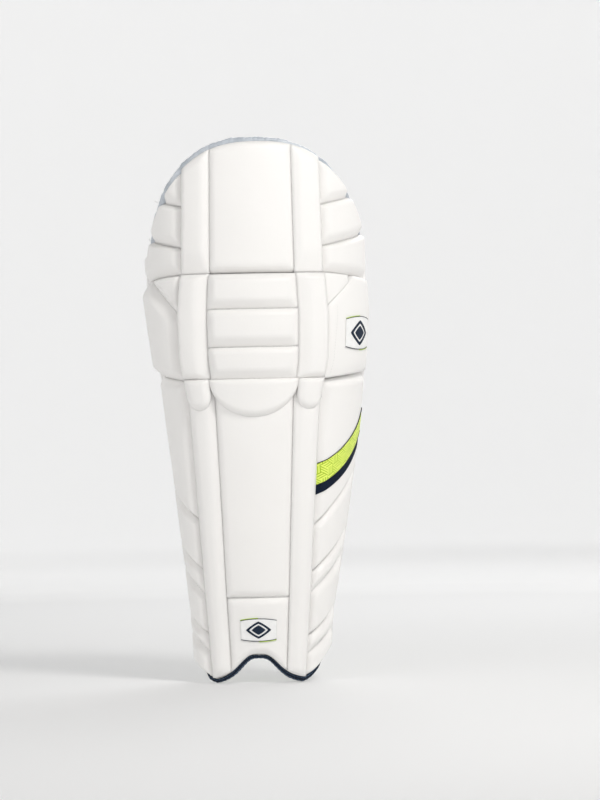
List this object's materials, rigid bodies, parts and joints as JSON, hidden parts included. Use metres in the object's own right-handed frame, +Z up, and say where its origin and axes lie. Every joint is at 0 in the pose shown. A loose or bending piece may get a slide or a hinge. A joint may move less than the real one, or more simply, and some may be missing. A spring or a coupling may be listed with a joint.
{
  "type": "cricket leg pad",
  "caption": "Left-leg batting pad: padded face with canes and knee rolls on a curved backing, top hat above, bolsters behind, and hook-and-loop strap closures with plastic rings.",
  "frame": {"origin": "middle of the bounding box's lowest face, under the standing pad", "axes": "+Z up the shin, -Y out of the face, +X towards the wider outer wing"},
  "size_m": [0.3152, 0.1568, 0.7596],
  "materials": {
    "white_cover": "fine-grained white PU cover",
    "lining": "smooth white lining",
    "mesh": "white diagonal mesh",
    "printed_cloth": "lime cloth with fine dark line print",
    "satin": "grey-blue satin",
    "rope_trim": "navy ribbed cord",
    "badge": "soft moulded badge",
    "cane": "split cane",
    "webbing": "striped twill webbing",
    "ring_plastic": "navy moulded plastic"
  },
  "bodies": {
    "root": {"pad_backing": "lining", "knee_roll_lower": "white_cover", "knee_roll_middle": "white_cover", "knee_roll_upper": "white_cover", "half_moon_tongue": "white_cover", "shin_center_panel": "white_cover", "instep_panel": "white_cover", "wing_band": "printed_cloth", "knee_badge": "badge", "instep_badge": "badge", "instep_binding": "rope_trim", "knee_bolster": "mesh", "shin_liner": "lining", "knee_cane_inner": "white_cover", "cane_tongue_inner": "white_cover", "shin_cane_inner": "white_cover", "cane_core_inner": "cane", "calf_bolster_inner": "mesh", "knee_cane_outer": "white_cover", "cane_tongue_outer": "white_cover", "shin_cane_outer": "white_cover", "cane_core_outer": "cane", "calf_bolster_outer": "mesh", "knee_wing_pad_inner_1": "white_cover", "knee_wing_pad_inner_2": "white_cover", "knee_wing_pad_outer_1": "white_cover", "knee_wing_pad_outer_2": "white_cover", "shin_wing_pad_inner_1": "white_cover", "shin_wing_pad_inner_2": "white_cover", "shin_wing_pad_inner_3": "white_cover", "shin_wing_pad_inner_4": "white_cover", "shin_wing_pad_outer_1": "white_cover", "shin_wing_pad_outer_2": "white_cover", "shin_wing_pad_outer_3": "white_cover", "shin_wing_pad_outer_4": "white_cover", "anchor_lower": "webbing", "anchor_middle": "webbing", "anchor_upper": "webbing"},
    "top_hat": {"top_hat_backing": "lining", "top_hat_center_panel": "white_cover", "top_hat_binding": "satin", "top_hat_back_panel": "lining", "top_hat_back_cloth": "printed_cloth", "top_hat_cane_inner": "white_cover", "top_hat_cane_outer": "white_cover", "top_hat_wing_pad_inner_1": "white_cover", "top_hat_wing_pad_inner_2": "white_cover", "top_hat_wing_pad_inner_3": "white_cover", "top_hat_wing_pad_outer_1": "white_cover", "top_hat_wing_pad_outer_2": "white_cover", "top_hat_wing_pad_outer_3": "white_cover"},
    "strap_lower": {"strap_lower": "webbing"},
    "ring_lower": {"ring_lower": "ring_plastic"},
    "tab_lower": {"tab_lower": "webbing"},
    "strap_middle": {"strap_middle": "webbing"},
    "ring_middle": {"ring_middle": "ring_plastic"},
    "tab_middle": {"tab_middle": "webbing"},
    "strap_upper": {"strap_upper": "webbing"},
    "ring_upper": {"ring_upper": "ring_plastic"},
    "tab_upper": {"tab_upper": "webbing"}
  },
  "joints": [
    {"name": "top_hat_flex", "type": "hinge", "parent": "root", "child": "top_hat", "pos_m": [-0.00431, -0.04951, 0.57], "axis": [1, 0, 0], "range_deg": [0, 8], "stiffness_Nm_per_rad": 2},
    {"name": "strap_lower_swing", "type": "hinge", "parent": "root", "child": "strap_lower", "pos_m": [-0.08651, 0.01931, 0.11], "axis": [0, 0, 1], "range_deg": [-0.6, 0.6], "stiffness_Nm_per_rad": 0.5},
    {"name": "ring_lower_swing", "type": "hinge", "parent": "root", "child": "ring_lower", "pos_m": [0.062, 0.03668, 0.11], "axis": [0, 0, 1], "range_deg": [-4.3, 4.3]},
    {"name": "tab_lower_peel", "type": "hinge", "parent": "strap_lower", "child": "tab_lower", "pos_m": [0.04205, 0.03807, 0.11], "axis": [0, 0, -1], "range_deg": [0, 120]},
    {"name": "strap_middle_swing", "type": "hinge", "parent": "root", "child": "strap_middle", "pos_m": [-0.10644, 0.03643, 0.283], "axis": [0, 0, 1], "range_deg": [-0.6, 0.6], "stiffness_Nm_per_rad": 0.5},
    {"name": "ring_middle_swing", "type": "hinge", "parent": "root", "child": "ring_middle", "pos_m": [0.0909, 0.0625, 0.283], "axis": [0, 0, 1], "range_deg": [-5.78, 5.78]},
    {"name": "tab_middle_peel", "type": "hinge", "parent": "strap_middle", "child": "tab_middle", "pos_m": [0.07093, 0.06355, 0.283], "axis": [0, 0, -1], "range_deg": [0, 120]},
    {"name": "strap_upper_swing", "type": "hinge", "parent": "root", "child": "strap_upper", "pos_m": [-0.12473, 0.04436, 0.433], "axis": [0, 0, 1], "range_deg": [-0.6, 0.6], "stiffness_Nm_per_rad": 0.5},
    {"name": "ring_upper_swing", "type": "hinge", "parent": "root", "child": "ring_upper", "pos_m": [0.10883, 0.06818, 0.433], "axis": [0, 0, 1], "range_deg": [-6.85, 6.85]},
    {"name": "tab_upper_peel", "type": "hinge", "parent": "strap_upper", "child": "tab_upper", "pos_m": [0.08886, 0.06923, 0.433], "axis": [0, 0, -1], "range_deg": [0, 120]}
  ],
  "couplings": [
    {"joint": "ring_lower_swing", "follows": "strap_lower_swing", "ratio": -6.5},
    {"joint": "ring_middle_swing", "follows": "strap_middle_swing", "ratio": -8.97},
    {"joint": "ring_upper_swing", "follows": "strap_upper_swing", "ratio": -10.75}
  ]
}
